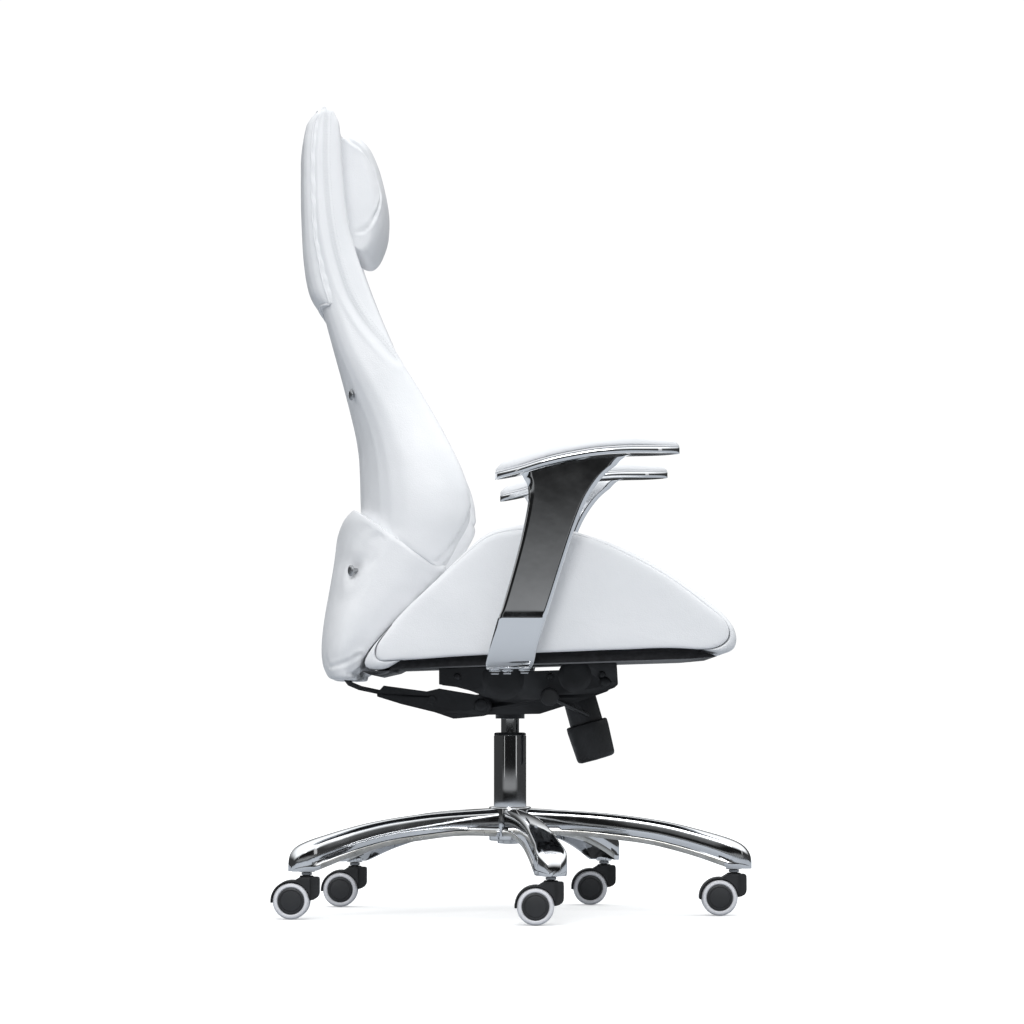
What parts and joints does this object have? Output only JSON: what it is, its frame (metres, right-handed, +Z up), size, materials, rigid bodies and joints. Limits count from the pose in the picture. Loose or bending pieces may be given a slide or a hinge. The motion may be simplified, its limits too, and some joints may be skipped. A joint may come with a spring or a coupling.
{
  "type": "swivel office chair",
  "caption": "High-backed swivel chair with padded seat, back and armrests on a gas lift, a tilt mechanism and a five-star base with twin-wheel castors.",
  "frame": {"origin": "on the floor under the gas lift's axis, which the seat swivels about and which is the middle of the footprint", "axes": "+Z up along the lift's axis; -Y is the way the chair faces; -X is the sitter's right hand"},
  "size_m": [0.7249, 0.729, 1.2314],
  "materials": {
    "white_leather": "satin",
    "chrome": "polished",
    "polished_base": "polished",
    "steel": "satin",
    "black_steel": "satin",
    "black_plastic": "satin",
    "black_fabric": "matte",
    "plywood": "matte",
    "white_tread": "satin"
  },
  "bodies": {
    "base": {"star_base": "polished_base", "lift_tube": "chrome", "lift_guide": "black_plastic"},
    "lift_rod_body": {"lift_rod": "steel"},
    "tilt_unit": {"lift_cylinder": "chrome", "mechanism_housing": "black_steel", "rear_pivot_pin": "steel", "front_pivot_pin": "steel", "tension_cup": "black_steel", "tension_spring": "steel"},
    "valve_pin": {"lift_valve_pin": "steel"},
    "tension_knob_body": {"tension_knob": "black_plastic"},
    "tilt_lock_lever": {"tilt_lever": "black_plastic"},
    "height_release_lever": {"height_lever": "black_steel"},
    "seat": {"seat_plate": "black_steel", "seat_board": "black_fabric", "seat_cushion": "white_leather", "arm_plate_right": "chrome", "arm_frame_right": "chrome", "arm_pad_right": "white_leather", "arm_bolt_right_1": "chrome", "arm_bolt_right_2": "chrome", "arm_bolt_right_3": "chrome", "arm_plate_left": "chrome", "arm_frame_left": "chrome", "arm_pad_left": "white_leather", "arm_bolt_left_1": "chrome", "arm_bolt_left_2": "chrome", "arm_bolt_left_3": "chrome"},
    "back": {"back_bracket": "black_steel", "back_bar": "black_steel", "back_board": "plywood", "back_cushion": "white_leather", "lower_back_cushion": "white_leather", "head_panel": "white_leather", "head_pillow": "white_leather", "back_screw_upper_right": "chrome", "back_screw_upper_left": "chrome", "back_screw_lower_right": "chrome", "back_screw_lower_left": "chrome"},
    "castor_1": {"castor_1_stem": "chrome", "castor_1_housing": "black_plastic"},
    "castor_1_wheel_right_body": {"castor_1_wheel_right": "white_tread"},
    "castor_1_wheel_left_body": {"castor_1_wheel_left": "white_tread"},
    "castor_2": {"castor_2_stem": "chrome", "castor_2_housing": "black_plastic"},
    "castor_2_wheel_right_body": {"castor_2_wheel_right": "white_tread"},
    "castor_2_wheel_left_body": {"castor_2_wheel_left": "white_tread"},
    "castor_3": {"castor_3_stem": "chrome", "castor_3_housing": "black_plastic"},
    "castor_3_wheel_right_body": {"castor_3_wheel_right": "white_tread"},
    "castor_3_wheel_left_body": {"castor_3_wheel_left": "white_tread"},
    "castor_4": {"castor_4_stem": "chrome", "castor_4_housing": "black_plastic"},
    "castor_4_wheel_right_body": {"castor_4_wheel_right": "white_tread"},
    "castor_4_wheel_left_body": {"castor_4_wheel_left": "white_tread"},
    "castor_5": {"castor_5_stem": "chrome", "castor_5_housing": "black_plastic"},
    "castor_5_wheel_right_body": {"castor_5_wheel_right": "white_tread"},
    "castor_5_wheel_left_body": {"castor_5_wheel_left": "white_tread"}
  },
  "joints": [
    {"name": "seat_swivel", "type": "hinge", "parent": "base", "child": "lift_rod_body", "pos_m": [0, 0, 0.275], "axis": [0, 0, 1], "continuous": true},
    {"name": "lift_height", "type": "slide", "parent": "lift_rod_body", "child": "tilt_unit", "axis": [0, 0, 1], "range_m": [-0.016, 0.075]},
    {"name": "valve_pin_travel", "type": "slide", "parent": "tilt_unit", "child": "valve_pin", "axis": [0, 0, -1], "range_m": [0, 0.0055]},
    {"name": "tension_knob_turn", "type": "hinge", "parent": "tilt_unit", "child": "tension_knob_body", "pos_m": [0, -0.109, 0.3265], "axis": [0, -0.2723, -0.9622], "range_deg": [-360, 360]},
    {"name": "tilt_lock", "type": "hinge", "parent": "tilt_unit", "child": "tilt_lock_lever", "pos_m": [-0.035, -0.119, 0.3065], "axis": [-1, 0, 0], "range_deg": [0, 25]},
    {"name": "height_release", "type": "hinge", "parent": "tilt_unit", "child": "height_release_lever", "pos_m": [0.061, 0, 0.3435], "axis": [0, -1, 0], "range_deg": [0, 5], "stiffness_Nm_per_rad": 1.2, "springref_deg": -6.88},
    {"name": "back_recline", "type": "hinge", "parent": "tilt_unit", "child": "back", "pos_m": [0, 0.044, 0.321], "axis": [-1, 0, 0], "range_deg": [0, 16], "stiffness_Nm_per_rad": 130, "springref_deg": -16.04},
    {"name": "seat_tilt", "type": "hinge", "parent": "tilt_unit", "child": "seat", "pos_m": [0, -0.146, 0.357], "axis": [-1, 0, 0], "range_deg": [0, 7.3]},
    {"name": "castor_1_swivel", "type": "hinge", "parent": "base", "child": "castor_1", "pos_m": [-0.04523, -0.34354, 0.07], "axis": [0, 0, 1], "continuous": true},
    {"name": "castor_1_wheel_right_roll", "type": "hinge", "parent": "castor_1", "child": "castor_1_wheel_right_body", "pos_m": [-0.06073, -0.32104, 0.0275], "axis": [1, 0, 0], "continuous": true},
    {"name": "castor_1_wheel_left_roll", "type": "hinge", "parent": "castor_1", "child": "castor_1_wheel_left_body", "pos_m": [-0.02973, -0.32104, 0.0275], "axis": [1, 0, 0], "continuous": true},
    {"name": "castor_2_swivel", "type": "hinge", "parent": "base", "child": "castor_2", "pos_m": [-0.3407, -0.06315, 0.07], "axis": [0, 0, 1], "continuous": true},
    {"name": "castor_2_wheel_right_roll", "type": "hinge", "parent": "castor_2", "child": "castor_2_wheel_right_body", "pos_m": [-0.3562, -0.04065, 0.0275], "axis": [1, 0, 0], "continuous": true},
    {"name": "castor_2_wheel_left_roll", "type": "hinge", "parent": "castor_2", "child": "castor_2_wheel_left_body", "pos_m": [-0.3252, -0.04065, 0.0275], "axis": [1, 0, 0], "continuous": true},
    {"name": "castor_3_swivel", "type": "hinge", "parent": "base", "child": "castor_3", "pos_m": [-0.16534, 0.30451, 0.07], "axis": [0, 0, 1], "continuous": true},
    {"name": "castor_3_wheel_right_roll", "type": "hinge", "parent": "castor_3", "child": "castor_3_wheel_right_body", "pos_m": [-0.18084, 0.32701, 0.0275], "axis": [1, 0, 0], "continuous": true},
    {"name": "castor_3_wheel_left_roll", "type": "hinge", "parent": "castor_3", "child": "castor_3_wheel_left_body", "pos_m": [-0.14984, 0.32701, 0.0275], "axis": [1, 0, 0], "continuous": true},
    {"name": "castor_4_swivel", "type": "hinge", "parent": "base", "child": "castor_4", "pos_m": [0.23852, 0.25134, 0.07], "axis": [0, 0, 1], "continuous": true},
    {"name": "castor_4_wheel_right_roll", "type": "hinge", "parent": "castor_4", "child": "castor_4_wheel_right_body", "pos_m": [0.22301, 0.27384, 0.0275], "axis": [1, 0, 0], "continuous": true},
    {"name": "castor_4_wheel_left_roll", "type": "hinge", "parent": "castor_4", "child": "castor_4_wheel_left_body", "pos_m": [0.25401, 0.27384, 0.0275], "axis": [1, 0, 0], "continuous": true},
    {"name": "castor_5_swivel", "type": "hinge", "parent": "base", "child": "castor_5", "pos_m": [0.31275, -0.14917, 0.07], "axis": [0, 0, 1], "continuous": true},
    {"name": "castor_5_wheel_right_roll", "type": "hinge", "parent": "castor_5", "child": "castor_5_wheel_right_body", "pos_m": [0.29725, -0.12667, 0.0275], "axis": [1, 0, 0], "continuous": true},
    {"name": "castor_5_wheel_left_roll", "type": "hinge", "parent": "castor_5", "child": "castor_5_wheel_left_body", "pos_m": [0.32825, -0.12667, 0.0275], "axis": [1, 0, 0], "continuous": true}
  ],
  "couplings": [
    {"joint": "seat_tilt", "follows": "back_recline", "ratio": 0.45},
    {"joint": "valve_pin_travel", "follows": "height_release", "m_per_rad": 0.061}
  ]
}
